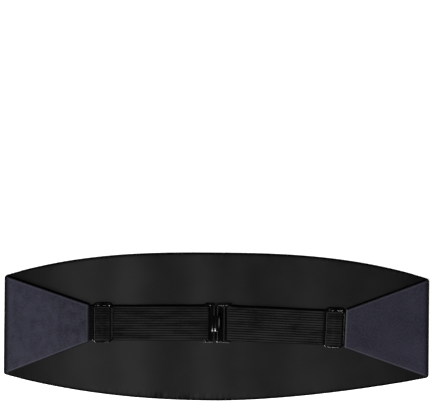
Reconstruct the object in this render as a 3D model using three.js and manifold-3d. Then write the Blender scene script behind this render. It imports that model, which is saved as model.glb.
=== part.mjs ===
// A cummerbund lying closed and flat, face down: a pleated satin front, its lining, two side tabs folded
// over at the ends, and an elastic waist strap with two wire slides and a hooked clasp.
// X runs along the sash, +Y is the wearer's up, and +Z is up from the surface that the sash lies on.
// The origin is on that surface, under the middle of the sash. All lengths are millimetres.

import * as THREE from "three";
import { mergeVertices } from "three/addons/utils/BufferGeometryUtils.js";
import Module from "manifold-3d";

// Clearance between pieces that touch
const GAP = 0.3;

// Sash outline, seen from above
const SASH_LENGTH = 376;
const SASH_HEIGHT = 131;
const END_HEIGHT = 87.5;
const SEAM_FROM_END = 14;
const LENGTH_STEPS = 40;
// How long each quarter of the outline stays level before it falls to the end, as a power
const OUTLINE_POWERS = {
  top: { left: 2.7, right: 2.65 },
  bottom: { left: 2.25, right: 1.65 },
};

// Pleated front: each band is a layer whose folded top edge laps over the band above it
const FRONT_WALL = 1.2;
const FOLD_THICKNESS = 0.7;
const FOLD_LAP = 2.5;
const EDGE_ROUND = 0.8;
// Share of a band's height that lies flat below its fold, before it tucks under the next fold
const FLAT_SHARE = 0.45;
// Heights of the folds, lowest first, as shares of half the sash's height there
const FOLDS = [
  { left: -0.583, middle: -0.418, right: -0.514 },
  { left: 0.009, middle: -0.008, right: 0.048 },
  { left: 0.619, middle: 0.429, right: 0.619 },
];

// Lining
const LINING_THICKNESS = 1;
const LINING_INSET = 0.3;
const LINING_BEVEL = 0.3;

// The open waist between the lining and what lies over it
const WAIST_GAP = 4.5;

// Side tabs: how far each reaches back from the folded end, how far its narrow end stands out past
// the elastic's two edges, and how far from it the slide starts
const TAB_THICKNESS = 1.8;
const TABS = {
  left: { reach: 75.5, margin: 1.2, toSlide: 2.7 },
  right: { reach: 74.1, margin: 2, toSlide: 1.2 },
};

// Elastic waist strap
const ELASTIC_WIDTH = 30;
const ELASTIC_THICKNESS = 1;
const ELASTIC_SIDE_PLAY = 0.6;
const ELASTIC_TAIL = 3;
const ELASTIC_SETTLE = 12;
// Height of the strap's centre line at the clasp and at each slide
const STRAP_CENTRE = { left: 2.3, clasp: 3, right: -0.6 };

// Slides of flattened wire, which is broader at their two ends than along their arms
const SLIDE_THICKNESS = 1.6;
const SLIDE_END_BAR = 2.4;
const SLIDE_MIDDLE_BAR = 1.6;
const SLIDE_ARM = 1.3;
const SLIDE_LENGTH = 17.8;
const SLIDE_CORNER = 3.6;

// Clasp, along X from the ring's hooked bar, whose outer edge is at CLASP_AT
const CLASP_AT = -0.4;
const CLASP_PLATE = 1.2;
const CLASP_ARM = 1.3;
const CLASP_CORNER = 1.6;
const STRAP_BAR = 2;
const HOOK_FRONT_BAR = 3.4;
const HOOK_FROM_RING = 1.5;
const TONGUE_REACH = 3.4;
const TONGUE_WIDTH = 14.3;
const TONGUE_THICKNESS = 1;
const RING_HOOKED_BAR = 1.7;
const RING_MIDDLE_BAR = 1.5;
// Open width left in each window beside what is looped through it
const HOOK_SLOT_OPEN = 1.8;
const RING_WINDOW_OPEN = 2.3;
const RING_SLOT_OPEN = 2.2;

// Sides of the octagon that stands for a round wire or a rounded plate edge
const OCTAGON_CUT = 0.29;
const CURVE_STEPS = 8;
const CORNER_STEPS = 4;

// Heights above the surface, from the pleats up to the slides
const foldStep = FOLD_THICKNESS + GAP;
const frontDepth = foldStep + FRONT_WALL;
const liningBottom = frontDepth + GAP;
const liningTop = liningBottom + LINING_THICKNESS;
const waistTop = liningTop + WAIST_GAP;
const foldRadius = (waistTop + TAB_THICKNESS) / 2;
const returnLevel = waistTop + ELASTIC_THICKNESS / 2;
const strapLevel = returnLevel + ELASTIC_THICKNESS + GAP;
const overSlide = SLIDE_THICKNESS / 2 + GAP + ELASTIC_THICKNESS / 2;
const slideLevel = strapLevel + overSlide;
const overBar = CLASP_PLATE / 2 + GAP + ELASTIC_THICKNESS / 2;
const overTongueBar = CLASP_PLATE / 2 + GAP + TONGUE_THICKNESS / 2;
const claspLevel = returnLevel + overBar;
const tabLift = strapLevel - waistTop - TAB_THICKNESS / 2;

// Places along X and sizes that the pieces share
const halfLength = SASH_LENGTH / 2;
const seamAt = halfLength - SEAM_FROM_END;
const foldCentre = halfLength - foldRadius;
const strapOpening = ELASTIC_WIDTH + 2 * ELASTIC_SIDE_PLAY;
const loopReach = overBar + ELASTIC_THICKNESS / 2;
const hookSlot = loopReach + HOOK_SLOT_OPEN;
const ringWindow = overTongueBar + TONGUE_THICKNESS / 2 + RING_WINDOW_OPEN;
const ringSlot = loopReach + RING_SLOT_OPEN;
const hookFrontAt = CLASP_AT - HOOK_FROM_RING;
const tongueAt = CLASP_AT - TONGUE_REACH;
const hookBarAt = hookFrontAt - HOOK_FRONT_BAR - hookSlot;
const ringWindowAt = CLASP_AT + RING_HOOKED_BAR;
const ringSlotAt = ringWindowAt + ringWindow + RING_MIDDLE_BAR;
const ringBarAt = ringSlotAt + ringSlot;
const SIDES = {
  left: { sign: -1, barAt: -hookBarAt },
  right: { sign: 1, barAt: ringBarAt },
};

const satin = { color: 0x41414b, roughness: 0.55, metalness: 0 };
const blackSatin = { color: 0x262626, roughness: 0.6, metalness: 0 };
const elastic = { color: 0x1b1b1c, roughness: 0.85, metalness: 0 };
const blackMetal = { color: 0x0d0d0e, roughness: 0.3, metalness: 0.7 };

const wasm = await Module();
wasm.setup();

function toSolid(geometry) {
  const plain = geometry.clone();
  plain.deleteAttribute("normal");
  plain.deleteAttribute("uv");
  const merged = mergeVertices(plain);
  return new wasm.Manifold(
    new wasm.Mesh({
      numProp: 3,
      vertProperties: new Float32Array(merged.attributes.position.array),
      triVerts: new Uint32Array(merged.index.array),
    }),
  );
}

function toGeometry(solid) {
  const mesh = solid.getMesh();
  const geometry = new THREE.BufferGeometry();
  geometry.setAttribute("position", new THREE.BufferAttribute(mesh.vertProperties, 3));
  geometry.setIndex(new THREE.BufferAttribute(mesh.triVerts, 1));
  geometry.computeVertexNormals();
  return geometry;
}

// Moves every vertex of a geometry to where place(vertex) puts it
function reshape(geometry, place) {
  const position = geometry.attributes.position;
  const vertex = new THREE.Vector3();
  for (let i = 0; i < position.count; i += 1) {
    place(vertex.fromBufferAttribute(position, i));
    position.setXYZ(i, vertex.x, vertex.y, vertex.z);
  }
  geometry.computeVertexNormals();
  return geometry;
}

function piece(name, geometry, finish) {
  const mesh = new THREE.Mesh(geometry, new THREE.MeshStandardMaterial(finish));
  mesh.name = name;
  return mesh;
}

// Height of the sash's top or bottom edge at a place along its length
function edgeHeight(edge, x) {
  const power = OUTLINE_POWERS[edge][x < 0 ? "left" : "right"];
  const drop = (SASH_HEIGHT - END_HEIGHT) / 2;
  const height = SASH_HEIGHT / 2 - drop * Math.abs(x / halfLength) ** power;
  return edge === "top" ? height : -height;
}

// Height of a fold at a place along the sash: a shallow bow through its three heights
function foldHeight(fold, x) {
  const left = (fold.left * END_HEIGHT) / 2;
  const middle = (fold.middle * SASH_HEIGHT) / 2;
  const right = (fold.right * END_HEIGHT) / 2;
  const along = x / seamAt;
  return middle + ((right - left) / 2) * along + ((right + left) / 2 - middle) * along ** 2;
}

// Heights of the bottom edge, the folds and the top edge at a place along the sash
function bandHeights(x) {
  return [edgeHeight("bottom", x), ...FOLDS.map((fold) => foldHeight(fold, x)), edgeHeight("top", x)];
}

// Carries a height between two of the old levels to the same share of the way between the new ones
function carry(height, oldLevels, newLevels) {
  const above = oldLevels.findIndex((level, i) => i > 0 && height <= level);
  const upper = above < 0 ? oldLevels.length - 1 : above;
  const share = (height - oldLevels[upper - 1]) / (oldLevels[upper] - oldLevels[upper - 1]);
  return THREE.MathUtils.lerp(newLevels[upper - 1], newLevels[upper], share);
}

// Sweeps a cross-section, drawn as height and depth, along the sash between two places, both
// followed by the same outline
function alongSash(section, halfSpan, heightAt) {
  const geometry = new THREE.ExtrudeGeometry(section, {
    depth: 1,
    steps: LENGTH_STEPS,
    bevelEnabled: false,
  });
  return reshape(geometry, (vertex) => {
    const x = THREE.MathUtils.lerp(-halfSpan, halfSpan, vertex.z);
    vertex.set(x, heightAt(vertex.x, x), vertex.y);
  });
}

function pleatedFront() {
  const levels = bandHeights(0);
  const [bottom, ...foldsAndTop] = levels;
  const top = foldsAndTop.pop();
  const section = new THREE.Shape();
  section.moveTo(bottom, EDGE_ROUND);
  section.lineTo(bottom + EDGE_ROUND, 0);
  foldsAndTop.forEach((fold, i) => {
    const next = levels[i + 2];
    section.lineTo(fold, 0);
    section.lineTo(fold, FOLD_THICKNESS);
    section.lineTo(fold - FOLD_LAP, FOLD_THICKNESS);
    section.lineTo(fold - FOLD_LAP, foldStep);
    section.lineTo(fold, foldStep);
    section.lineTo(THREE.MathUtils.lerp(next, fold, FLAT_SHARE), 0);
  });
  section.lineTo(top - EDGE_ROUND, 0);
  section.lineTo(top, EDGE_ROUND);
  section.lineTo(top, frontDepth);
  section.lineTo(bottom, frontDepth);
  return alongSash(section, seamAt, (height, x) => carry(height, levels, bandHeights(x)));
}

function lining() {
  const levels = [edgeHeight("bottom", 0), edgeHeight("top", 0)];
  const [bottom, top] = [levels[0] + LINING_INSET, levels[1] - LINING_INSET];
  const section = new THREE.Shape();
  section.moveTo(bottom, liningBottom);
  section.lineTo(top, liningBottom);
  section.lineTo(top, liningTop - LINING_BEVEL);
  section.lineTo(top - LINING_BEVEL, liningTop);
  section.lineTo(bottom + LINING_BEVEL, liningTop);
  section.lineTo(bottom, liningTop - LINING_BEVEL);
  return alongSash(section, foldCentre, (height, x) =>
    carry(height, levels, [edgeHeight("bottom", x), edgeHeight("top", x)]),
  );
}

// A strip on the front, a round fold at the end and a tapering flap over the lining, as one wall.
// The narrow end is square to the strap that leaves it.
function sideTab(side) {
  const { sign } = SIDES[side];
  const tab = TABS[side];
  const flapEnd = halfLength - tab.reach;
  const profile = new THREE.Shape();
  profile.moveTo(seamAt + GAP, 0);
  profile.lineTo(foldCentre, 0);
  profile.absarc(foldCentre, foldRadius, foldRadius, -Math.PI / 2, Math.PI / 2, false);
  profile.lineTo(flapEnd, 2 * foldRadius + tabLift);
  profile.lineTo(flapEnd, 2 * foldRadius + tabLift - TAB_THICKNESS);
  profile.lineTo(foldCentre, 2 * foldRadius - TAB_THICKNESS);
  profile.absarc(foldCentre, foldRadius, foldRadius - TAB_THICKNESS, Math.PI / 2, -Math.PI / 2, true);
  profile.lineTo(seamAt + GAP, TAB_THICKNESS);
  const endCentre = strapCentre(side, flapEnd);
  const endHalf = ELASTIC_WIDTH / 2 + tab.margin;
  return reshape(acrossSash(profile, 1), (vertex) => {
    const x = sign * vertex.x;
    const onFlap = vertex.z > foldRadius;
    const along = onFlap ? (halfLength - vertex.x) / tab.reach : 0;
    const outlineAt = onFlap ? sign * halfLength : x;
    const low = THREE.MathUtils.lerp(edgeHeight("bottom", outlineAt), endCentre - endHalf, along);
    const high = THREE.MathUtils.lerp(edgeHeight("top", outlineAt), endCentre + endHalf, along);
    const height = THREE.MathUtils.lerp(low, high, sign * vertex.y + 1 / 2);
    const lean = along * strapSlope(side) * (height - endCentre);
    vertex.set(x - sign * lean, height, vertex.z);
  });
}

// A smooth rise or fall from the path's last point, level at both ends
function sweepTo(path, x, z) {
  const from = path.currentPoint;
  const middle = (from.x + x) / 2;
  path.bezierCurveTo(middle, from.y, middle, z, x, z);
}

// The closed outline of a strip of even thickness along a path
function stripOutline(path, thickness) {
  const line = path.getPoints(CURVE_STEPS);
  const upper = [];
  const lower = [];
  line.forEach((point, i) => {
    const before = line[Math.max(i - 1, 0)];
    const after = line[Math.min(i + 1, line.length - 1)];
    const along = after.clone().sub(before).normalize();
    const across = new THREE.Vector2(-along.y, along.x).multiplyScalar(thickness / 2);
    upper.push(point.clone().add(across));
    lower.unshift(point.clone().sub(across));
  });
  return new THREE.Shape([...upper, ...lower]);
}

// A profile drawn in X and Z, made as wide as width along Y, with its middle at Y 0
function acrossSash(profile, width) {
  const geometry = new THREE.ExtrudeGeometry(profile, {
    depth: width,
    bevelEnabled: false,
    curveSegments: CURVE_STEPS,
  });
  geometry.rotateX(Math.PI / 2);
  geometry.translate(0, width / 2, 0);
  return geometry;
}

function slideCentre(side) {
  return halfLength - TABS[side].reach - TABS[side].toSlide - SLIDE_LENGTH / 2;
}

// How far a strap half's centre line rises for each millimetre out from the clasp
function strapSlope(side) {
  return (STRAP_CENTRE[side] - STRAP_CENTRE.clasp) / (slideCentre(side) - SIDES[side].barAt);
}

// Height of a strap half's centre line at a distance from the sash's middle
function strapCentre(side, distance) {
  return STRAP_CENTRE.clasp + strapSlope(side) * (distance - SIDES[side].barAt);
}

// From the tab under, over and under the slide's bars, round the clasp's bar and back to the slide.
// It is square to the clasp's bar at one end and turns to be square to its own slope at the slide.
function elasticStrap(side) {
  const { sign, barAt } = SIDES[side];
  const middleBar = slideCentre(side);
  const insideBar = SLIDE_LENGTH / 2 - SLIDE_END_BAR;
  const settled = barAt + STRAP_BAR + ELASTIC_SETTLE;
  const path = new THREE.Path();
  path.moveTo(halfLength - TABS[side].reach - GAP, strapLevel);
  path.lineTo(middleBar + insideBar, strapLevel);
  sweepTo(path, middleBar, slideLevel + overSlide);
  sweepTo(path, middleBar - insideBar, strapLevel);
  path.lineTo(settled, strapLevel);
  sweepTo(path, barAt + STRAP_BAR, claspLevel + overBar);
  path.lineTo(barAt, claspLevel + overBar);
  path.absarc(barAt, claspLevel, overBar, Math.PI / 2, -Math.PI / 2, false);
  path.lineTo(middleBar - insideBar, returnLevel);
  sweepTo(path, middleBar, strapLevel);
  path.lineTo(middleBar + ELASTIC_TAIL, strapLevel);
  const geometry = acrossSash(stripOutline(path, ELASTIC_THICKNESS), ELASTIC_WIDTH);
  const loopEnd = barAt + STRAP_BAR;
  const slideStart = middleBar - SLIDE_LENGTH / 2;
  return reshape(geometry, (vertex) => {
    const across = sign * vertex.y;
    const height = strapCentre(side, vertex.x) + across;
    const turned = THREE.MathUtils.clamp((vertex.x - loopEnd) / (slideStart - loopEnd), 0, 1);
    vertex.set(sign * (vertex.x - turned * strapSlope(side) * across), height, vertex.z);
  });
}

// Draws a rectangle from one place along X to another, with its own corner radius at each end
function roundedRectangle(outline, from, to, height, fromRadius, toRadius) {
  const quarter = Math.PI / 2;
  const half = height / 2;
  outline.absarc(to - toRadius, half - toRadius, toRadius, 0, quarter, false);
  outline.absarc(from + fromRadius, half - fromRadius, fromRadius, quarter, 2 * quarter, false);
  outline.absarc(from + fromRadius, fromRadius - half, fromRadius, 2 * quarter, 3 * quarter, false);
  outline.absarc(to - toRadius, toRadius - half, toRadius, 3 * quarter, 4 * quarter, false);
  outline.closePath();
  return outline;
}

// A flat frame with its edges cut to an octagon, its middle plane at Z 0
function frame(outline, thickness) {
  const cut = thickness * OCTAGON_CUT;
  const geometry = new THREE.ExtrudeGeometry(outline, {
    depth: thickness - 2 * cut,
    curveSegments: CORNER_STEPS,
    bevelThickness: cut,
    bevelSize: cut,
    bevelOffset: -cut,
    bevelSegments: 1,
  });
  geometry.translate(0, 0, cut - thickness / 2);
  return geometry;
}

// A rounded rectangle of wire with a bar across its middle
function slideFrame() {
  const end = SLIDE_LENGTH / 2;
  const barEdge = SLIDE_MIDDLE_BAR / 2;
  const inner = end - SLIDE_END_BAR;
  const corner = SLIDE_CORNER - SLIDE_END_BAR;
  const height = strapOpening + 2 * SLIDE_ARM;
  const outline = roundedRectangle(new THREE.Shape(), -end, end, height, SLIDE_CORNER, SLIDE_CORNER);
  outline.holes.push(
    roundedRectangle(new THREE.Path(), -inner, -barEdge, strapOpening, corner, barEdge),
    roundedRectangle(new THREE.Path(), barEdge, inner, strapOpening, barEdge, corner),
  );
  return frame(outline, SLIDE_THICKNESS);
}

// A plate along X with windows for the strap or the tongue, each given by where it starts and ends
function claspPlate(from, to, windows) {
  const height = strapOpening + 2 * CLASP_ARM;
  const corner = CLASP_ARM / 2;
  const outline = roundedRectangle(new THREE.Shape(), from, to, height, CLASP_CORNER, CLASP_CORNER);
  windows.forEach(([start, end]) => {
    outline.holes.push(roundedRectangle(new THREE.Path(), start, end, strapOpening, corner, corner));
  });
  return frame(outline, CLASP_PLATE);
}

// The slotted plate and its tongue, which curls over the ring's hooked bar and back under it
function claspHook() {
  const plate = claspPlate(hookBarAt - STRAP_BAR, hookFrontAt, [[hookBarAt, hookBarAt + hookSlot]]);
  const path = new THREE.Path();
  path.moveTo(hookFrontAt - HOOK_FRONT_BAR + TONGUE_THICKNESS, 0);
  path.lineTo(tongueAt, 0);
  sweepTo(path, CLASP_AT, overTongueBar);
  path.lineTo(ringWindowAt, overTongueBar);
  path.absarc(ringWindowAt, 0, overTongueBar, Math.PI / 2, -Math.PI / 2, true);
  path.lineTo(CLASP_AT, -overTongueBar);
  const tongue = acrossSash(stripOutline(path, TONGUE_THICKNESS), TONGUE_WIDTH);
  return toGeometry(toSolid(plate).add(toSolid(tongue)));
}

function claspRing() {
  return claspPlate(CLASP_AT, ringBarAt + STRAP_BAR, [
    [ringWindowAt, ringWindowAt + ringWindow],
    [ringSlotAt, ringBarAt],
  ]);
}

const sash = new THREE.Group();
sash.add(piece("pleated_front", pleatedFront(), satin));
sash.add(piece("lining", lining(), blackSatin));

const strap = new THREE.Group();
for (const side of ["left", "right"]) {
  sash.add(piece(`side_tab_${side}`, sideTab(side), satin));
  strap.add(piece(`elastic_${side}`, elasticStrap(side), elastic));
  const slide = piece(`slide_${side}`, slideFrame(), blackMetal);
  slide.position.set(SIDES[side].sign * slideCentre(side), STRAP_CENTRE[side], slideLevel);
  slide.rotation.z = Math.atan(SIDES[side].sign * strapSlope(side));
  strap.add(slide);
}

const clasp = new THREE.Group();
clasp.position.set(0, STRAP_CENTRE.clasp, claspLevel);
clasp.add(piece("clasp_hook", claspHook(), blackMetal));
clasp.add(piece("clasp_ring", claspRing(), blackMetal));
strap.add(clasp);

const cummerbund = new THREE.Group();
cummerbund.add(sash, strap);

export default cummerbund;
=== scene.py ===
"""A cummerbund lying closed and flat, face down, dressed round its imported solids.

Lengths inside the classes are millimetres, with X along the sash, +Y the wearer's up and +Z up
from the surface that it lies on. A piece is turned into metres when it is finished.
"""

import logging
import math
from collections.abc import Callable
from dataclasses import dataclass
from enum import Enum
from typing import Any

import bmesh
import bpy
from mathutils import Matrix, Vector, noise


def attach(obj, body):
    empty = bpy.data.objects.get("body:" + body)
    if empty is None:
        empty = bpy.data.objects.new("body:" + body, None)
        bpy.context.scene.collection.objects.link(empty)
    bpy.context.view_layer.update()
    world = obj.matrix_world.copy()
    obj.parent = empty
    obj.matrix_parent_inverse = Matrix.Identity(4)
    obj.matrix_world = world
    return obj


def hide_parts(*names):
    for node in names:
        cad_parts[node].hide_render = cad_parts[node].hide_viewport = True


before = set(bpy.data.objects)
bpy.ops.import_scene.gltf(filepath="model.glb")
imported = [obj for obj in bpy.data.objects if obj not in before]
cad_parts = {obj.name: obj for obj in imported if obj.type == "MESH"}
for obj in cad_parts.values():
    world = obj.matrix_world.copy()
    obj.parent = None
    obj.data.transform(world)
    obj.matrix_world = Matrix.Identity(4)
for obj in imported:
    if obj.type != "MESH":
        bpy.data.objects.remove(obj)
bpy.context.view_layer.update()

MILLIMETRE = 0.001
FLAT_UV = "flat"

log = logging.getLogger("cummerbund")

Triple = tuple[float, float, float]
Colour = Triple
Place = Callable[[float, float], Vector]
Share = Callable[[float, float], float]
BLACK: Colour = (0.0, 0.0, 0.0)


class Side(Enum):
    """The two halves of the sash, as the way each runs out from the middle."""

    LEFT = -1
    RIGHT = 1

    @property
    def word(self) -> str:
        """The half's name, for the names of its pieces."""
        return self.name.lower()


class Slot(Enum):
    """The record's material slots."""

    SATIN = "satin"
    LINING = "lining"
    ELASTIC = "elastic"
    HARDWARE = "hardware"


class Mark(Enum):
    """Numbers from 0 to 1 that a cloth's mesh carries for its finish, mostly painted light and shade.
    """

    # Painted shade: pulls the colour to black at rims, folds, gaps and under the clasp
    RIM = "rim"
    # Painted highlight: lifts the colour along edges that catch the light
    EDGE = "edge"
    # Painted light and tone: sheen bands, light falloff and pucker shade, a lighter left tab, random
    # mottle and the elastic's darker upper edge
    CREST = "crest"


# Shader recipes


class Signal:
    """A number at a shader socket, so that its node maths reads as plain arithmetic."""

    def __init__(self, recipe: "Recipe", socket: bpy.types.NodeSocket) -> None:
        """Wraps a socket.

        Args:
            recipe: The material that the socket belongs to.
            socket: The output socket that gives the number.
        """
        self.recipe = recipe
        self.socket = socket

    def _maths(self, operation: str, *values: Any, clamp: bool = False) -> "Signal":
        """Adds a Math node.

        Args:
            operation: The Math node's operation.
            *values: Its inputs, numbers or signals.
            clamp: Whether the result is kept between 0 and 1.

        Returns:
            The node's result.
        """
        settings = {"operation": operation, "use_clamp": clamp}
        node = self.recipe.node("ShaderNodeMath", settings, dict(enumerate(values)))
        return Signal(self.recipe, node.outputs[0])

    def __add__(self, other: Any) -> "Signal":
        """Sum."""
        return self._maths("ADD", self, other)

    __radd__ = __add__

    def __sub__(self, other: Any) -> "Signal":
        """Difference."""
        return self._maths("SUBTRACT", self, other)

    def __rsub__(self, other: Any) -> "Signal":
        """Difference from a plain number."""
        return self._maths("SUBTRACT", other, self)

    def __mul__(self, other: Any) -> "Signal":
        """Product."""
        return self._maths("MULTIPLY", self, other)

    __rmul__ = __mul__

    def __pow__(self, other: float) -> "Signal":
        """Power."""
        return self._maths("POWER", self, other)

    def sine(self) -> "Signal":
        """Sine of the number, in radians."""
        return self._maths("SINE", self)

    def size(self) -> "Signal":
        """The number without its sign."""
        return self._maths("ABSOLUTE", self)

    def clipped(self) -> "Signal":
        """The number kept between 0 and 1."""
        return self._maths("ADD", self, 0.0, clamp=True)


class Recipe:
    """A material under construction."""

    def __init__(self, name: str) -> None:
        """Makes an empty material with its surface shader.

        Args:
            name: The material's name.
        """
        self.material = bpy.data.materials.new(name)
        self.material.use_nodes = True
        self.tree = self.material.node_tree
        self.tree.nodes.clear()
        self.surface = self.node("ShaderNodeBsdfPrincipled")
        self.node("ShaderNodeOutputMaterial", inputs={"Surface": self.surface.outputs[0]})

    def node(
        self,
        kind: str,
        settings: dict[str, Any] | None = None,
        inputs: dict[str | int, Any] | None = None,
    ) -> bpy.types.Node:
        """Adds a node.

        Args:
            kind: The node's type.
            settings: Its properties, which are set before its sockets are used.
            inputs: Values, signals or sockets for its inputs, by name or number.

        Returns:
            The node.
        """
        node = self.tree.nodes.new(kind)
        for name, value in (settings or {}).items():
            setattr(node, name, value)
        for key, value in (inputs or {}).items():
            self.feed(node.inputs[key], value)
        return node

    def feed(self, socket: bpy.types.NodeSocket, value: Any) -> None:
        """Sets or links an input.

        Args:
            socket: The input.
            value: A number, colour, signal or output socket.
        """
        if isinstance(value, Signal):
            value = value.socket
        if isinstance(value, bpy.types.NodeSocket):
            self.tree.links.new(value, socket)
        else:
            socket.default_value = value

    def finish(self, **values: Any) -> bpy.types.Material:
        """Sets the surface shader's inputs.

        Args:
            **values: Its inputs by name, with underscores for spaces.

        Returns:
            The material.
        """
        for name, value in values.items():
            self.feed(self.surface.inputs[name.replace("_", " ")], value)
        return self.material

    def flat_place(self) -> tuple[Signal, Signal]:
        """Where a point lies on the flat cloth, along and across it, in millimetres."""
        uv = self.node("ShaderNodeUVMap", {"uv_map": FLAT_UV})
        parts = self.node("ShaderNodeSeparateXYZ", inputs={0: uv.outputs[0]})
        along, across = (Signal(self, parts.outputs[i]) * 1000.0 for i in (0, 1))
        return along, across

    def mark(self, mark: Mark) -> Signal:
        """A number that the mesh carries at each point."""
        node = self.node("ShaderNodeAttribute", {"attribute_name": mark.value})
        return Signal(self, node.outputs["Fac"])

    def grain(self, size: float, detail: float = 2.0, stretch: Triple = (1, 1, 1)) -> Signal:
        """Cloudy variation from -1 to 1 in the object's own space.

        Args:
            size: Size of its patches in millimetres.
            detail: How many finer layers it has.
            stretch: How closely packed the patches are along each axis.

        Returns:
            The variation, mostly within -0.5 to 0.5.
        """
        coordinates = self.node("ShaderNodeTexCoord")
        mapping = self.node(
            "ShaderNodeMapping",
            {"vector_type": "POINT"},
            {"Vector": coordinates.outputs["Object"], "Scale": stretch},
        )
        cloud = self.node(
            "ShaderNodeTexNoise",
            {"noise_dimensions": "3D"},
            {"Vector": mapping.outputs[0], "Scale": 1000.0 / size, "Detail": detail},
        )
        return Signal(self, cloud.outputs["Fac"]) * 2.0 - 1.0

    def blend(self, first: Any, second: Any, share: Signal) -> bpy.types.NodeSocket:
        """A colour between two.

        Args:
            first: The colour at 0, or its socket.
            second: The colour at 1, or its socket.
            share: How far towards the second one.

        Returns:
            The colour's socket.
        """
        ends = [(*end, 1.0) if isinstance(end, tuple) else end for end in (first, second)]
        settings = {"data_type": "RGBA", "clamp_factor": True}
        node = self.node("ShaderNodeMix", settings, {"Factor": share, 6: ends[0], 7: ends[1]})
        return node.outputs[2]

    def relief(self, height: Signal, depth: float) -> bpy.types.NodeSocket:
        """A bumped normal.

        Args:
            height: Relief from 0 to 1.
            depth: Its full depth in millimetres.

        Returns:
            The normal's socket.
        """
        node = self.node(
            "ShaderNodeBump",
            inputs={"Strength": 1.0, "Distance": depth * MILLIMETRE, "Height": height},
        )
        return node.outputs[0]


@dataclass(frozen=True)
class Satin:
    """A satin with a fine diagonal weave, with painted shade darkening it at its rims and a painted
    highlight lightening it along its edges.
    """

    name: str
    dark: Colour
    light: Colour
    # The painted highlight's colour, along edges that catch the light
    pressed: Colour
    roughness: float = 0.5
    thread: float = 0.32
    weave_depth: float = 0.02
    weave_share: float = 0.16
    speckle: float = 0.5
    mottle: float = 0.35
    # How strongly the painted light and tone mark moves the colour
    crest: float = 0.0
    specular: float = 0.17
    sheen: float = 0.1

    def material(self) -> bpy.types.Material:
        """Builds the material."""
        recipe = Recipe(self.name)
        along, across = recipe.flat_place()
        turn = 2.0 * math.pi / self.thread
        twill = ((along + across) * turn).sine()
        thread = (across * (turn * 1.9)).sine()
        weave = twill * 0.7 + thread * 0.3
        fine = recipe.grain(1.3, 3.0)
        broad = recipe.grain(26.0, 1.0)
        # Painted shade: this mark pulls the colour to black at rims, folds and gaps
        rim = recipe.mark(Mark.RIM)
        share = 0.5 + weave * self.weave_share + fine * self.speckle + broad * self.mottle
        # Painted light and tone: sheen bands, falloff and shade, with random mottle
        share = share + recipe.mark(Mark.CREST) * self.crest
        cloth = recipe.blend(self.dark, self.light, share)
        # Painted highlight: the colour lifted towards the highlight colour
        cloth = recipe.blend(cloth, self.pressed, recipe.mark(Mark.EDGE))
        roughness = self.roughness + fine * 0.12 + broad * 0.06 + rim * 0.4
        height = (weave * 0.5 + 0.5) * 0.75 + fine * 0.5
        return recipe.finish(
            Base_Color=recipe.blend(cloth, BLACK, rim),
            Roughness=roughness,
            Specular_IOR_Level=self.specular,
            Sheen_Weight=self.sheen,
            Sheen_Roughness=0.4,
            Normal=recipe.relief(height, self.weave_depth),
        )


@dataclass(frozen=True)
class RibbedElastic:
    """A woven elastic with lengthwise ribs, darker towards its upper edge, with painted shade making
    it black at its rims.
    """

    name: str
    groove: Colour
    rib: Colour
    ribs: int
    width: float
    roughness: float = 0.8
    upper_fall: float = 0.5

    def material(self) -> bpy.types.Material:
        """Builds the material."""
        recipe = Recipe(self.name)
        along, across = recipe.flat_place()
        ridge = (across * (math.pi * self.ribs / self.width)).sine().size()
        pick = (along * (2.0 * math.pi / 0.75)).sine() * 0.5 + 0.5
        fine = recipe.grain(0.9, 3.0)
        patch = recipe.grain(9.0, 2.0, (0.35, 1.6, 1.0))
        share = ridge**3.0 * (0.75 + pick * 0.3 + patch * 1.5 + fine * 0.9) + pick * 0.06
        # Darker towards the upper edge, and by each half's own darkening
        share = share * (1.2 - recipe.mark(Mark.CREST) * self.upper_fall)
        cloth = recipe.blend(self.groove, self.rib, share)
        height = ridge * 0.55 + pick * 0.3 + fine * 0.3
        return recipe.finish(
            # Painted shade: black at the rims and in the shadowed gaps by the tab's end and the slide
            Base_Color=recipe.blend(cloth, BLACK, recipe.mark(Mark.RIM)),
            Roughness=self.roughness + fine * 0.1,
            Specular_IOR_Level=0.12,
            Sheen_Weight=0.05,
            Normal=recipe.relief(height, 0.1),
        )


@dataclass(frozen=True)
class BlackEnamel:
    """A thin glossy enamel over metal, a little dulled on its worn patches."""

    name: str
    colour: Colour
    worn: Colour
    roughness: float = 0.12
    ior: float = 2.3

    def material(self) -> bpy.types.Material:
        """Builds the material."""
        recipe = Recipe(self.name)
        patch = recipe.grain(2.6, 3.0)
        dust = recipe.grain(0.35, 2.0)
        wear = (patch * 1.6 - 0.35).clipped()
        return recipe.finish(
            Base_Color=recipe.blend(self.colour, self.worn, wear),
            Roughness=self.roughness + wear * 0.15 + dust * 0.05,
            IOR=self.ior,
            Normal=recipe.relief(dust * 0.5 + patch * 0.5, 0.008),
        )


@dataclass(frozen=True)
class PaleFloor:
    """A plain pale studio floor."""

    name: str = "pale_floor"
    shade: float = 0.88
    glow: float = 0.85

    def material(self) -> bpy.types.Material:
        """Builds the material."""
        recipe = Recipe(self.name)
        tone = recipe.grain(900.0, 1.0) * 0.5 + 0.5
        light = (self.shade,) * 3
        dark = (self.shade - 0.02,) * 3
        return recipe.finish(
            Base_Color=recipe.blend(dark, light, tone),
            Roughness=0.9,
            Specular_IOR_Level=0.1,
            Emission_Color=(1.0, 1.0, 1.0, 1.0),
            Emission_Strength=self.glow,
        )


# Shapes


def smooth_step(share: float) -> float:
    """A share from 0 to 1 that starts and ends level."""
    share = min(max(share, 0.0), 1.0)
    return share * share * (3.0 - 2.0 * share)


def mix(low: float, high: float, share: float) -> float:
    """The number a share of the way from low to high."""
    return low + (high - low) * share


def bell(distance: float, spread: float) -> float:
    """1 at no distance, falling softly to about a third at the spread."""
    return math.exp(-((distance / spread) ** 2))


def cloudy(x: float, y: float, along: float, across: float, layer: float) -> float:
    """Smooth variation from about -0.5 to 0.5, by its patches' size and a layer of its own."""
    return noise.noise(Vector((x / along, y / across, layer)))


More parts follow.
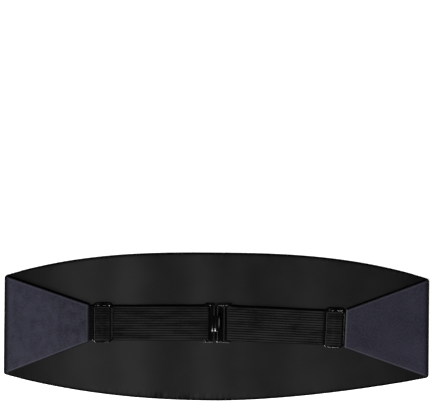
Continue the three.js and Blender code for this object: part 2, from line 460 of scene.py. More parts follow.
class Shape:
    """A mesh under construction, in millimetres, that becomes one piece of the object."""

    def __init__(self) -> None:
        """Starts an empty mesh."""
        self.bm = bmesh.new()

    def finish(
        self,
        name: str,
        finishes: list[bpy.types.Material],
        node: str,
        slot: Slot,
    ) -> bpy.types.Object:
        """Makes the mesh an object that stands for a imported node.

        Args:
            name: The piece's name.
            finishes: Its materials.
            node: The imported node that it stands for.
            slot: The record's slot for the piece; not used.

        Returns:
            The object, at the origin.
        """
        bmesh.ops.scale(self.bm, vec=(MILLIMETRE,) * 3, verts=self.bm.verts)
        for face in self.bm.faces:
            face.smooth = True
        mesh = bpy.data.meshes.new(name)
        self.bm.to_mesh(mesh)
        self.bm.free()
        for material in finishes:
            mesh.materials.append(material)
        piece = bpy.data.objects.new(name, mesh)
        bpy.context.scene.collection.objects.link(piece)
        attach(piece, "root")
        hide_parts(node)
        return piece


class Cloth(Shape):
    """A sheet of cloth, laid from a flat grid."""

    def __init__(
        self,
        columns: int,
        rows: int,
        place: Place,
        flat: Callable[[float, float], tuple[float, float]],
        marks: dict[Mark, Share] | None = None,
    ) -> None:
        """Lays the sheet.

        Args:
            columns: Squares along it.
            rows: Squares across it.
            place: Where a point goes, from its shares along and across the grid.
            flat: Where it lies on the cut cloth, in millimetres, from the same shares.
            marks: Numbers that its finish reads at each point, from the same shares.
        """
        super().__init__()
        bmesh.ops.create_grid(self.bm, x_segments=columns, y_segments=rows, size=0.5)
        uv = self.bm.loops.layers.uv.new(FLAT_UV)
        layers = {mark: self.bm.verts.layers.float.new(mark.value) for mark in marks or {}}
        shares = {v: (v.co.x + 0.5, v.co.y + 0.5) for v in self.bm.verts}
        for face in self.bm.faces:
            for loop in face.loops:
                spot = flat(*shares[loop.vert])
                loop[uv].uv = (spot[0] * MILLIMETRE, spot[1] * MILLIMETRE)
        for vertex, spot in shares.items():
            vertex.co = place(*spot)
            for mark, layer in layers.items():
                vertex[layer] = marks[mark](*spot)

    def turn_over(self) -> None:
        """Makes the sheet's other side its outer one."""
        bmesh.ops.reverse_faces(self.bm, faces=self.bm.faces)


def thicken(
    piece: bpy.types.Object,
    thickness: float,
    offset: float,
    edge_round: float = 0.0,
    inner_finish: int = 0,
) -> None:
    """Gives a sheet its thickness.

    Args:
        piece: The sheet's object.
        thickness: In millimetres.
        offset: -1 for a wall inside the sheet, 0 for one to both sides.
        edge_round: How far its cut edges are rounded, in millimetres.
        inner_finish: Which of its materials the inner side has, after the outer one.
    """
    wall = piece.modifiers.new("wall", "SOLIDIFY")
    wall.thickness = thickness * MILLIMETRE
    wall.offset = offset
    wall.use_even_offset = True
    wall.material_offset = inner_finish
    if edge_round:
        rounding = piece.modifiers.new("edges", "BEVEL")
        rounding.width = edge_round * MILLIMETRE
        rounding.segments = 3
        rounding.limit_method = "ANGLE"
        rounding.angle_limit = math.radians(50.0)
        rounding.use_clamp_overlap = True


@dataclass(frozen=True)
class Outline:
    """The sash's lens outline and the heights of its folds."""

    length: float = 376.0
    height: float = 131.0
    end_height: float = 87.5
    seam_from_end: float = 14.0
    powers: tuple[tuple[float, float], tuple[float, float]] = ((2.25, 1.65), (2.7, 2.65))
    # Each fold at the left seam, in the middle and at the right seam, in shares of half the height
    folds: tuple[Triple, ...] = (
        (-0.583, -0.418, -0.514),
        (0.009, -0.008, 0.048),
        (0.619, 0.429, 0.619),
    )

    @property
    def half(self) -> float:
        """Half the sash's length."""
        return self.length / 2.0

    @property
    def seam(self) -> float:
        """How far the end seams are from the middle."""
        return self.half - self.seam_from_end

    def edge(self, upper: int, x: float) -> float:
        """Height of an edge.

        Args:
            upper: 1 for the upper edge, 0 for the lower one.
            x: Place along the sash.

        Returns:
            The height.
        """
        power = self.powers[upper][0 if x < 0 else 1]
        drop = (self.height - self.end_height) / 2.0
        rise = self.height / 2.0 - drop * abs(x / self.half) ** power
        return rise if upper else -rise

    def levels(self, x: float) -> list[float]:
        """Heights of the lower edge, the folds and the upper edge at a place along the sash."""
        share = x / self.seam
        found = [self.edge(0, x)]
        for left, middle, right in self.folds:
            low, high = left * self.end_height / 2.0, right * self.end_height / 2.0
            rest = middle * self.height / 2.0
            bow = ((high + low) / 2.0 - rest) * share**2
            found.append(rest + (high - low) / 2.0 * share + bow)
        found.append(self.edge(1, x))
        return found


@dataclass
class PleatedFront:
    """The satin face: one cloth in four bands, each folded over the foot of the one above it."""

    outline: Outline
    satin: bpy.types.Material
    thickness: float = 0.35
    layers: tuple[float, float, float] = (0.2, 0.65, 1.1)
    tuck: float = 8.0
    settle: float = 0.55
    # The rolled rim, from its top down, as distances from the edge and heights
    rim: tuple[tuple[float, float], ...] = ((0.12, 1.55), (0.0, 1.15), (0.05, 0.7), (0.35, 0.36))
    rim_run: float = 0.95
    fold_run: float = 0.9
    band_steps: int = 6
    tuck_steps: int = 3
    fold_steps: int = 5
    foot_steps: int = 4
    ripple: float = 0.05
    columns: int = 120
    flat: tuple[float, float] = (180.0, 348.0)

    def section(self, x: float) -> list[tuple[float, float]]:
        """The cloth's line across the sash, lower edge first, as heights and depths.

        Args:
            x: Place along the sash.

        Returns:
            The line's points, as many at every place.
        """
        face, under, foot = self.layers
        low, *folds, high = self.outline.levels(x)
        line = [(low + inset, level) for inset, level in self.rim]
        start = low + self.rim_run
        line.append((start, face))

        def band(end: float) -> None:
            shares = (k / self.band_steps for k in range(1, self.band_steps + 1))
            line.extend((mix(start, end, share), face) for share in shares)

        def bend(y: float, level: float, radius: float, way: int, steps: range) -> None:
            for k in steps:
                angle = math.pi * (k / (steps.stop - 1) - 0.5)
                reach = math.cos(angle) * radius
                line.append((y + way * reach, level + radius + math.sin(angle) * radius))

        for i, fold in enumerate(folds):
            band(fold - self.fold_run)
            turn = (under - face) / 2.0
            bend(fold - turn, face, turn, 1, range(1, self.fold_steps + 1))
            back = [fold - self.tuck * k / self.tuck_steps for k in range(self.tuck_steps)]
            line += [(y, under) for y in back[1:]]
            bend(fold - self.tuck, under, (foot - under) / 2.0, -1, range(self.foot_steps + 1))
            line += [(y, foot) for y in reversed(back)]
            following = folds[i + 1] if i + 1 < len(folds) else high
            start = mix(fold, following, self.settle)
            for k in range(1, self.band_steps + 1):
                share = k / self.band_steps
                line.append((mix(fold, start, share), mix(foot, face, smooth_step(share))))
        band(high - self.rim_run)
        line += [(high - inset, level) for inset, level in reversed(self.rim)]
        return line

    def build(self) -> bpy.types.Object:
        rows = len(self.section(0.0)) - 1
        span = 2.0 * self.outline.seam
        sections = {}
        lengths = {}

        def column(along: float) -> int:
            step = round(along * self.columns)
            if step not in sections:
                line = self.section(mix(-self.outline.seam, self.outline.seam, along))
                run = [0.0]
                for (y0, z0), (y1, z1) in zip(line, line[1:]):
                    run.append(run[-1] + math.hypot(y1 - y0, z1 - z0))
                sections[step], lengths[step] = line, run
            return step

        def place(along: float, across: float) -> Vector:
            y, z = sections[column(along)][round(across * rows)]
            x = mix(-self.outline.seam, self.outline.seam, along)
            ripple = self.ripple * cloudy(x, y, 22.0, 14.0, 3.0)
            return Vector((x, y, z + ripple))

        def flat(along: float, across: float) -> tuple[float, float]:
            run = lengths[column(along)]
            return along * span, run[round(across * rows)] - run[-1] / 2.0

        # Painted shade: the face darkened towards black over the rows nearest its edges
        def rim(along: float, across: float) -> float:
            return bell(min(across, 1.0 - across) * rows, 5.0)

        cloth = Cloth(self.columns, rows, place, flat, {Mark.RIM: rim})
        cloth.turn_over()
        piece = cloth.finish("front_cloth", [self.satin], "pleated_front", Slot.SATIN)
        thicken(piece, self.thickness, 0.0)
        size = tuple(side * MILLIMETRE for side in self.flat)
        0.9 * size[0] * size[1]
        return piece


@dataclass
class Lining:
    """The black satin back of the face, rolled down to the seam at its edge."""

    outline: Outline
    satin: bpy.types.Material
    reach: float = 183.1
    level: float = 3.4
    thickness: float = 0.4
    rim_drop: float = 1.55
    rim_reach: float = 2.2
    # Painted shade: its spread at the rim, its strength at the ends' corners and under the clasp, and
    # where the clasp's shadow lies with its half sizes
    rim_shade: float = 1.9
    corner_shade: float = 0.45
    corner_reach: float = 45.0
    clasp_shade: float = 0.85
    clasp_spot: tuple[float, float, float, float] = (1.0, 3.0, 11.0, 15.5)
    seam_from_end: float = 18.7
    seam_width: float = 0.7
    seam_depth: float = 0.3
    # Bands of painted sheen, each by its place along the sash, its spread and its strength
    crests: tuple[Triple, ...] = (
        (-118.0, 22.0, 0.7),
        (-76.0, 16.0, 1.0),
        (-11.0, 14.0, 0.7),
        (20.0, 9.0, 0.3),
        (84.0, 22.0, 0.45),
    )
    # The sheen bands' lean, the painted light falloff towards the right, its base and its falloff
    # towards the top, and the strength of painted shade in the puckers
    crest_lean: float = 0.06
    crest_fall: float = 0.08
    crest_rest: float = -0.19
    crest_rise: float = 0.12
    pucker_shade: float = 3.0
    pucker_rise: float = 0.45
    pucker_reach: float = 5.0
    gather_at: float = -42.0
    gather_spread: float = 55.0
    wave_rise: float = 0.34
    patch_rise: float = 0.4
    dimple_rise: float = 0.13
    wave_fade: float = 14.0
    columns: int = 244
    rows: int = 96
    flat: tuple[float, float] = (366.2, 133.0)

    def spot(self, along: float, across: float) -> tuple[float, float, float, bool]:
        """Place of a point of the grid.

        Args:
            along: Its share along the sash.
            across: Its share across it.

        Returns:
            Its X and Y, its distance from the nearer edge and whether that is the upper one.
        """
        x = mix(-self.reach, self.reach, along)
        low, high = self.outline.edge(0, x) + 0.1, self.outline.edge(1, x) - 0.1
        swing = math.sin((across - 0.5) * math.pi)
        y = (low + high) / 2.0 + (high - low) / 2.0 * swing
        return x, y, (high - low) / 2.0 * (1.0 - abs(swing)), swing > 0.0

    def pucker(self, x: float, inset: float, upper: bool) -> float:
        """The small puckers along an edge, from about -0.5 to 0.5 where the cloth is gathered."""
        near = bell(inset, self.pucker_reach) * smooth_step(inset)
        gathered = 0.0 if upper else bell(x - self.gather_at, self.gather_spread)
        return (0.2 + 0.8 * gathered) * near * cloudy(x, inset, 2.6, 10.0, 9.0)

    def relief(self, x: float, y: float, inset: float, upper: bool) -> float:
        """How far the cloth stands off its level, in soft waves, puckers and seams.

        Args:
            x: Place along the sash.
            y: Height.
            inset: Distance from the nearer edge.
            upper: Whether that edge is the upper one.

        Returns:
            The rise in millimetres.
        """
        waves = self.wave_rise * math.sin((x + 101.0) / 13.5) * bell(x + 30.0, 120.0)
        waves += self.patch_rise * cloudy(x, y, 38.0, 70.0, 1.0)
        waves += self.dimple_rise * cloudy(x, y, 11.0, 24.0, 5.0)
        seam = bell(abs(x) - self.outline.half + self.seam_from_end, self.seam_width)
        puckers = self.pucker_rise * self.pucker(x, inset, upper)
        return waves * smooth_step(inset / self.wave_fade) + puckers - self.seam_depth * seam

    def build(self) -> bpy.types.Object:
        def place(along: float, across: float) -> Vector:
            x, y, inset, upper = self.spot(along, across)
            share = min(inset / self.rim_reach, 1.0)
            drop = self.rim_drop * (1.0 - math.sqrt(1.0 - (1.0 - share) ** 2))
            return Vector((x, y, self.level - drop + self.relief(x, y, inset, upper)))

        def flat(along: float, across: float) -> tuple[float, float]:
            x, y, _, _ = self.spot(along, across)
            return x, y

        # Painted shade: black at the rolled rim, darker at the ends' corners where the lining curls
        # into the folds, and a painted shadow under the clasp
        def rim(along: float, across: float) -> float:
            x, y, inset, _ = self.spot(along, across)
            corner = smooth_step((abs(x) - self.reach + self.corner_reach) / self.corner_reach)
            at_x, at_y, half_x, half_y = self.clasp_spot
            under = smooth_step((half_x - abs(x - at_x)) / 2.0 + 0.5)
            under *= smooth_step((half_y - abs(y - at_y)) / 2.0 + 0.5)
            rim = bell(inset, self.rim_shade)
            return max(rim, corner * self.corner_shade, under * self.clasp_shade)

        # Painted light: sheen bands, a falloff darker towards the top and the right, and painted shade
        # and highlight in the puckers
        def crest(along: float, across: float) -> float:
            x, y, inset, upper = self.spot(along, across)
            leaned = x + y * self.crest_lean
            waves = sum(strength * bell(leaned - at, spread) for at, spread, strength in self.crests)
            slope = self.crest_rise * y / (self.outline.height / 2.0)
            slope += self.crest_fall * x / self.reach
            puckers = self.pucker_shade * self.pucker(x, inset, upper)
            return waves + self.crest_rest - slope + puckers

        marks = {Mark.RIM: rim, Mark.CREST: crest}
        cloth = Cloth(self.columns, self.rows, place, flat, marks)
        piece = cloth.finish("lining_cloth", [self.satin], "lining", Slot.LINING)
        thicken(piece, self.thickness, -1.0)
        size = tuple(side * MILLIMETRE for side in self.flat)
        area = 0.9 * size[0] * size[1]
        return piece


@dataclass(frozen=True)
class TabLook:
    """How light a tab's cloth is, in shares of its finish, and how far its fold is shaded: painted
    light in its lightness, random mottle, painted shade towards and at its narrow end and a painted
    highlight along that end.
    """

    # Painted light: how much lighter the whole tab is painted
    tone: float = 0.0
    mottle: float = 0.0
    end_fall: float = 0.0
    end_rim: float = 0.0
    end_edge: float = 1.0
    fold_shade: float = 2.8


@dataclass
class SideTab:
    """A strip on the front, a round fold at the end and a tapering flap over the lining."""

    outline: Outline
    side: Side
    satin: bpy.types.Material
    facing: bpy.types.Material
    reach: float
    margin: float
    strap: "StrapLine"
    look: TabLook
    fold_radius: float = 4.9
    lift: float = 0.9
    thickness: float = 1.5
    puff: float = 0.28
    puff_reach: float = 7.0
    ripple: float = 0.22
    corner: float = 2.2
    # Painted shade by the edges and a painted highlight inside them: the shade's spread, the
    # highlight's place and spread, the shade's strength and the highlight's strengths on upper and
    # lower edges
    rim_spread: float = 0.75
    edge_at: float = 1.6
    edge_spread: float = 0.4
    slant_rim: float = 0.9
    slant_edges: tuple[float, float] = (0.3, 0.6)
    rows: int = 108
    strip_steps: int = 6
    fold_steps: int = 24
    flap_steps: int = 60
    flap_ease: float = 1.5

    def path(self) -> list[tuple[float, float, float]]:
        """The outer line, as distance from the middle, height and share of the flap."""
        centre = self.outline.half - self.fold_radius
        start = self.outline.seam + 0.3
        steps = self.strip_steps
        line = [(mix(start, centre, k / steps), 0.0, 0.0) for k in range(steps)]
        for k in range(self.fold_steps + 1):
            angle = math.pi * (k / self.fold_steps - 0.5)
            out = centre + self.fold_radius * math.cos(angle)
            rise = self.fold_radius * (1.0 + math.sin(angle))
            share = (self.outline.half - out) / self.reach if angle > 0 else 0.0
            line.append((out, rise, share))
        flap_end = self.outline.half - self.reach
        for k in range(1, self.flap_steps + 1):
            gone = 1.0 - (1.0 - k / self.flap_steps) ** self.flap_ease
            out = mix(centre, flap_end, gone)
            rise = 2.0 * self.fold_radius + self.lift * gone
            line.append((out, rise, (self.outline.half - out) / self.reach))
        return line

    def build(self) -> bpy.types.Object:
        sign = self.side.value
        line = self.path()
        columns = len(line) - 1
        end_centre = self.strap.centre(self.outline.half - self.reach)
        end_half = self.strap.width / 2.0 + self.margin
        run = [0.0]
        for before, after in zip(line, line[1:]):
            run.append(run[-1] + math.dist(before[:2], after[:2]))

        def spot(along: float, across: float) -> tuple[Vector, float, float]:
            out, rise, share = line[round(along * columns)]
            swing = -sign * math.sin((across - 0.5) * math.pi)
            level = sign * (self.outline.half if rise > self.fold_radius else out)
            low = mix(self.outline.edge(0, level), end_centre - end_half, share)
            high = mix(self.outline.edge(1, level), end_centre + end_half, share)
            turned = max(out - self.outline.half + self.corner, 0.0) / self.corner
            trim = self.corner * (1.0 - math.sqrt(1.0 - min(turned, 1.0) ** 2))
            low, high = low + trim, high - trim
            y = (low + high) / 2.0 + (high - low) / 2.0 * swing
            lean = share * self.strap.slope * (y - end_centre)
            inset = (high - low) / 2.0 * (1.0 - abs(swing))
            return Vector((sign * out - sign * lean, y, rise)), inset, share

        def place(along: float, across: float) -> Vector:
            point, inset, share = spot(along, across)
            if share > 0.0:
                ends = smooth_step(share * 8.0) * smooth_step((1.0 - share) * 14.0)
                soft = self.ripple * cloudy(point.x, point.y, 17.0, 15.0, 2.0)
                point.z += (self.puff * smooth_step(inset / self.puff_reach) + soft) * ends
            return point

        def flat(along: float, across: float) -> tuple[float, float]:
            return run[round(along * columns)], spot(along, across)[0].y

        # Painted shade: dark at the fold's outer end, along the slanted edges and at the narrow end
        def rim(along: float, across: float) -> float:
            point, inset, share = spot(along, across)
            fold = bell(self.outline.half - abs(point.x), self.look.fold_shade)
            slant = self.slant_rim * bell(inset, self.rim_spread)
            from_end = (1.0 - share) * self.reach
            end = self.look.end_rim * bell(from_end, 2.0 * self.rim_spread)
            return max(fold, slant, end)

        # Painted highlight: a light line inside the slanted edges, stronger on the lower ones that
        # face the light, and along the narrow end
        def edge(along: float, across: float) -> float:
            point, inset, share = spot(along, across)
            lower = smooth_step(0.5 - point.y / self.outline.end_height)
            slant = mix(*self.slant_edges, lower) * bell(inset - self.edge_at, self.edge_spread)
            from_end = (1.0 - share) * self.reach
            at = self.edge_at * (0.4 + self.look.end_rim)
            end = self.look.end_edge * bell(from_end - at, self.edge_spread)
            return max(slant, end)

        # Painted light: the tab's overall lightness and painted shade towards its narrow end, with
        # random mottle
        def crest(along: float, across: float) -> float:
            point, _, share = spot(along, across)
            patch = cloudy(point.x, point.y, 5.0, 7.0, 7.0)
            fleck = cloudy(point.x, point.y, 1.7, 1.7, 4.0)
            fall = self.look.end_fall * smooth_step((share - 0.5) / 0.35)
            return self.look.tone - fall + self.look.mottle * (patch + 0.8 * fleck)

        marks = {Mark.RIM: rim, Mark.EDGE: edge, Mark.CREST: crest}
        cloth = Cloth(columns, self.rows, place, flat, marks)
        name = f"tab_cloth_{self.side.word}"
        node = f"side_tab_{self.side.word}"
        piece = cloth.finish(name, [self.satin, self.facing], node, Slot.SATIN)
        thicken(piece, self.thickness, -1.0, edge_round=0.4, inner_finish=1)
        length = run[-1] * MILLIMETRE
        width = self.outline.end_height * MILLIMETRE
        narrow = 2.0 * end_half * MILLIMETRE
        length * (width + narrow) / 2.0 * 1.06
        return piece


@dataclass
class StrapLine:
    """Where one half of the elastic strap runs, from the tab to its clasp bar and back."""

    side: Side
    tab_end: float
    slide_from_tab: float
    bar_at: float
    centre_at_slide: float
    width: float = 30.0
    centre_at_clasp: float = 3.0
    slide_length: float = 17.8
    slide_end_bar: float = 2.4
    strap_bar: float = 2.0
    settle: float = 12.0
    tail: float = 3.0
    strap_level: float = 9.8
    slide_level: float = 11.4
    clasp_level: float = 9.9
    over_bar: float = 1.4
    over_slide: float = 1.6

    @property
    def slide_centre(self) -> float:
        """How far the slide's middle bar is from the middle of the sash."""
        return self.tab_end - self.slide_from_tab - self.slide_length / 2.0

    @property
    def slope(self) -> float:
        """How far the strap's centre line rises for each millimetre out from the clasp."""
        return (self.centre_at_slide - self.centre_at_clasp) / (self.slide_centre - self.bar_at)

    def centre(self, distance: float) -> float:
        """Height of the strap's centre line at a distance from the middle of the sash."""
        return self.centre_at_clasp + self.slope * (distance - self.bar_at)

    def path(self, into_tab: float) -> list[tuple[float, float]]:
        """The strap's middle line.

        Args:
            into_tab: How far its sewn end reaches into the tab.

        Returns:
            Points as distance from the middle of the sash and height.
        """
        middle = self.slide_centre
        inside = self.slide_length / 2.0 - self.slide_end_bar
        settled = self.bar_at + self.strap_bar + self.settle
        line = [(self.tab_end + into_tab, self.strap_level)]

        def level(x: float, cuts: int) -> None:
            x0, z0 = line[-1]
            line.extend((mix(x0, x, k / cuts), z0) for k in range(1, cuts + 1))

        def sweep(x: float, z: float, cuts: int = 10) -> None:
            x0, z0 = line[-1]
            for k in range(1, cuts + 1):
                share = k / cuts
                line.append((mix(x0, x, share), mix(z0, z, smooth_step(share))))

        def turn(x: float, z: float, radius: float) -> None:
            for k in range(1, 13):
                angle = math.pi / 2.0 + math.pi * k / 12.0
                line.append((x + radius * math.cos(angle), z + radius * math.sin(angle)))

        level(middle + inside, 12)
        sweep(middle, self.slide_level + self.over_slide)
        sweep(middle - inside, self.strap_level)
        level(middle - inside - 2.0 * self.slide_end_bar, 10)
        level(settled, 30)
        sweep(self.bar_at + self.strap_bar, self.clasp_level + self.over_bar)
        level(self.bar_at, 2)
        turn(self.bar_at, self.clasp_level, self.over_bar)
        level(middle - inside, 34)
        sweep(middle, self.strap_level)
        level(middle + self.tail, 2)
        return line


@dataclass
class ElasticBand:
    """One half of the ribbed elastic strap."""

    line: StrapLine
    finish: bpy.types.Material
    ribs: int = 14
    rib_height: float = 0.16
    drift: float = 0.08
    steps_each_rib: int = 8
    thickness: float = 0.7
    into_tab: float = 0.6
    # Painted shade: its spreads along the edges and by the gaps, and its strengths in the gap by the
    # tab, at the slide's inner end and along the edges
    rim_spread: float = 0.35
    shade_spread: float = 1.7
    gap_shade: float = 0.95
    slide_shade: float = 0.8
    edge_shade: float = 0.85
    # How much darker this half is made
    dull: float = 0.0

    def build(self) -> bpy.types.Object:
        sign = self.line.side.value
        path = self.line.path(self.into_tab)
        columns = len(path) - 1
        run = [0.0]
        for before, after in zip(path, path[1:]):
            run.append(run[-1] + math.dist(before, after))
        loop_end = self.line.bar_at + self.line.strap_bar
        slide_start = self.line.slide_centre - self.line.slide_length / 2.0

        def place(along: float, across: float) -> Vector:
            step = round(along * columns)
            out, rise = path[step]
            before, after = path[max(step - 1, 0)], path[min(step + 1, columns)]
            way = Vector((after[0] - before[0], after[1] - before[1])).normalized()
            phase = across * self.ribs
            ridge = abs(math.sin(math.pi * phase)) ** 0.7 - 0.6
            off = self.rib_height * ridge
            drift = self.drift * noise.noise(Vector((out / 16.0, across * 2.0, rise / 5.0)))
            y = self.line.width * (0.5 - across) * sign
            turned = min(max((out - loop_end) / (slide_start - loop_end), 0.0), 1.0)
            x = out + way.y * off - turned * self.line.slope * y
            z = rise - way.x * off + drift
            return Vector((sign * x, self.line.centre(out) + y, z))

        def flat(along: float, across: float) -> tuple[float, float]:
            return run[round(along * columns)], across * self.line.width

        # Painted shadow in the gap between the tab's end and the slide, and at the slide's inner end
        gap = self.line.slide_from_tab
        shades = (
            (self.line.tab_end - gap / 2.0, max(gap, 1.2) * 0.62, self.gap_shade),
            (slide_start + 0.4, self.shade_spread, self.slide_shade),
        )

        # Painted shade: those shadows and black along the strap's edges
        def rim(along: float, across: float) -> float:
            out, _ = path[round(along * columns)]
            inset = min(across, 1.0 - across) * self.line.width
            shade = max(strength * bell(out - at, spread) for at, spread, strength in shades)
            return max(shade, self.edge_shade * bell(inset, self.rim_spread))

        # Rises towards the strap's upper edge, plus this half's darkening
        def crest(along: float, across: float) -> float:
            return 0.5 + self.dull + (0.5 - across) * sign

        marks = {Mark.RIM: rim, Mark.CREST: crest}
        cloth = Cloth(columns, self.ribs * self.steps_each_rib, place, flat, marks)
        word = self.line.side.word
        name = f"elastic_band_{word}"
        piece = cloth.finish(name, [self.finish], f"elastic_{word}", Slot.ELASTIC)
        thicken(piece, self.thickness, 0.0)
        self.line.width * MILLIMETRE
        return piece


class Sweep(Shape):
    """A shape of metal, of which a strip may be carried along straights and bends."""

    def __init__(self) -> None:
        """Starts with no strip."""
        super().__init__()
        self.front: list[bmesh.types.BMEdge] = []

    def strip(self, start: Vector, end: Vector) -> None:
        """Starts from a straight edge between two points."""
        ends = [self.bm.verts.new(point) for point in (start, end)]
        self.front = [self.bm.edges.new(ends)]

    def go(self, step: Vector) -> None:
        """Carries the profile straight on by a step."""
        made = bmesh.ops.extrude_edge_only(self.bm, edges=self.front)["geom"]
        moved = [part for part in made if isinstance(part, bmesh.types.BMVert)]
        bmesh.ops.translate(self.bm, vec=step, verts=moved)
        kept = set(moved)
        edges = [part for part in made if isinstance(part, bmesh.types.BMEdge)]
        self.front = [edge for edge in edges if set(edge.verts) <= kept]

    def turn(self, centre: Vector, axis: Vector, angle: float, steps: int) -> None:
        """Carries the profile round a bend.

        Args:
            centre: A point on the bend's axis.
            axis: The axis.
            angle: How far it turns, in radians.
            steps: In how many steps.
        """
        verts = list({vertex for edge in self.front for vertex in edge.verts})
        made = bmesh.ops.spin(
            self.bm,
            geom=verts + self.front,
            cent=centre,
            axis=axis,
            angle=angle,
            steps=steps,
            use_merge=False,
            use_normal_flip=False,
            use_duplicate=False,
        )["geom_last"]
        self.front = [part for part in made if isinstance(part, bmesh.types.BMEdge)]

    def place(self, matrix: Matrix) -> None:
        """Moves the whole shape."""
        bmesh.ops.transform(self.bm, matrix=matrix, verts=self.bm.verts)


@dataclass
class BarredPlate:
    """A flat frame with bars across it, open slots between them and rounded edges."""

    columns: tuple[float, ...]
    arm: float
    thickness: float
    corner: float
    slot_corners: tuple[float, ...]
    edge_round: float
    opening: float = 31.2
    edge_steps: int = 4
    corner_steps: int = 6

    def build(self) -> Sweep:
        """Builds the plate, with its middle plane at Z 0."""
        shape = Sweep()
        bm = shape.bm
        heights = [-self.opening / 2.0 - self.arm, -self.opening / 2.0]
        heights += [-height for height in reversed(heights)]
        count = len(self.columns) - 1
        made = bmesh.ops.create_grid(bm, x_segments=count, y_segments=3, size=0.5)
        cells = {}
        for vertex in made["verts"]:
            column, row = round((vertex.co.x + 0.5) * count), round((vertex.co.y + 0.5) * 3)
            cells[vertex] = (column, row)
            vertex.co = Vector((self.columns[column], heights[row], -self.thickness / 2.0))
        slots = []
        for face in bm.faces:
            spots = [cells[vertex] for vertex in face.verts]
            column, row = min(c for c, _ in spots), min(r for _, r in spots)
            if row == 1 and column % 2 == 1:
                slots.append(face)
        bmesh.ops.delete(bm, geom=slots, context="FACES")
        self._merge_ends(bm, cells, count)
        raised = bmesh.ops.extrude_face_region(bm, geom=list(bm.faces))["geom"]
        moved = [part for part in raised if isinstance(part, bmesh.types.BMVert)]
        bmesh.ops.translate(bm, vec=(0.0, 0.0, self.thickness), verts=moved)
        bmesh.ops.recalc_face_normals(bm, faces=bm.faces)
        for end in (self.columns[0], self.columns[-1]):
            self._round_corners(bm, end, -heights[0], self.corner)
        for place, radius in zip(self.columns[1:-1], self.slot_corners):
            self._round_corners(bm, place, -heights[1], radius)
        self.soften(bm, self.edge_round, self.edge_steps)
        return shape

    @staticmethod
    def _merge_ends(
        bm: bmesh.types.BMesh, cells: dict[bmesh.types.BMVert, tuple[int, int]], count: int
    ) -> None:
        """Makes each end bar one face with its arms, so that its corners can be rounded widely.

        Args:
            bm: The flat plate.
            cells: Each vertex's column and row.
            count: How many columns of faces it has.
        """
        cuts = (1,) if count == 3 else (1, count - 1)
        spare = []
        for edge in bm.edges:
            (column, row), (other_column, other_row) = sorted(cells[v] for v in edge.verts)
            upright = column == other_column and column in cuts
            level = row == other_row and column in (0, count - 1)
            if len(edge.link_faces) == 2 and (upright or level):
                spare.append(edge)
        bmesh.ops.dissolve_edges(bm, edges=spare, use_verts=False, use_face_split=False)
        straight = [v for v in bm.verts if len(v.link_edges) == 2 and v.calc_edge_angle() < 0.01]
        bmesh.ops.dissolve_verts(bm, verts=straight)

    @staticmethod
    def soften(bm: bmesh.types.BMesh, width: float, segments: int) -> None:
        """Rounds every sharp edge of a shape."""
        sharp = math.radians(60.0)
        rims = [
            edge
            for edge in bm.edges
            if len(edge.link_faces) == 2 and edge.calc_face_angle() > sharp
        ]
        BarredPlate._bevel(bm, rims, width, segments)

    def _round_corners(
        self, bm: bmesh.types.BMesh, place: float, height: float, radius: float
    ) -> None:
        """Rounds the upright edges at two corners.

        Args:
            bm: The plate.
            place: The corners' place along X.
            height: How far they are from the plate's middle, both ways.
            radius: The corner radius.
        """
        found = []
        for edge in bm.edges:
            one, two = (vertex.co for vertex in edge.verts)
            upright = abs(one.x - two.x) + abs(one.y - two.y) < 1e-4
            if upright and abs(abs(one.y) - height) < 1e-4 and abs(one.x - place) < 1e-4:
                found.append(edge)
        self._bevel(bm, found, radius, self.corner_steps)

    @staticmethod
    def _bevel(
        bm: bmesh.types.BMesh, edges: list[bmesh.types.BMEdge], width: float, segments: int
    ) -> None:
        """Rounds some edges."""
        bmesh.ops.bevel(
            bm,
            geom=edges,
            offset=width,
            offset_type="OFFSET",
            segments=segments,
            profile=0.5,
            affect="EDGES",
            clamp_overlap=False,
            material=-1,
        )


@dataclass
class WireSlide:
    """A slide of flattened wire, with a bar across its middle."""

    line: StrapLine
    enamel: bpy.types.Material
    middle_bar: float = 1.6
    arm: float = 1.3
    thickness: float = 1.6
    corner: float = 3.6
    bar_corner: float = 0.4
    edge_round: float = 0.5

    def build(self) -> bpy.types.Object:
        """Builds the slide."""
        end, middle = self.line.slide_length / 2.0, self.middle_bar / 2.0
        inside = end - self.line.slide_end_bar
        inner_corner = self.corner - self.line.slide_end_bar
        shape = BarredPlate(
            columns=(-end, -inside, -middle, middle, inside, end),
            arm=self.arm,
            thickness=self.thickness,
            corner=self.corner,
            slot_corners=(inner_corner, self.bar_corner, self.bar_corner, inner_corner),
            edge_round=self.edge_round,
        ).build()
        sign = self.line.side.value
        where = (sign * self.line.slide_centre, self.line.centre_at_slide, self.line.slide_level)
        turn = Matrix.Rotation(math.atan(sign * self.line.slope), 4, "Z")
        shape.place(Matrix.Translation(where) @ turn)
        word = self.line.side.word
        return shape.finish(f"wire_slide_{word}", [self.enamel], f"slide_{word}", Slot.HARDWARE)


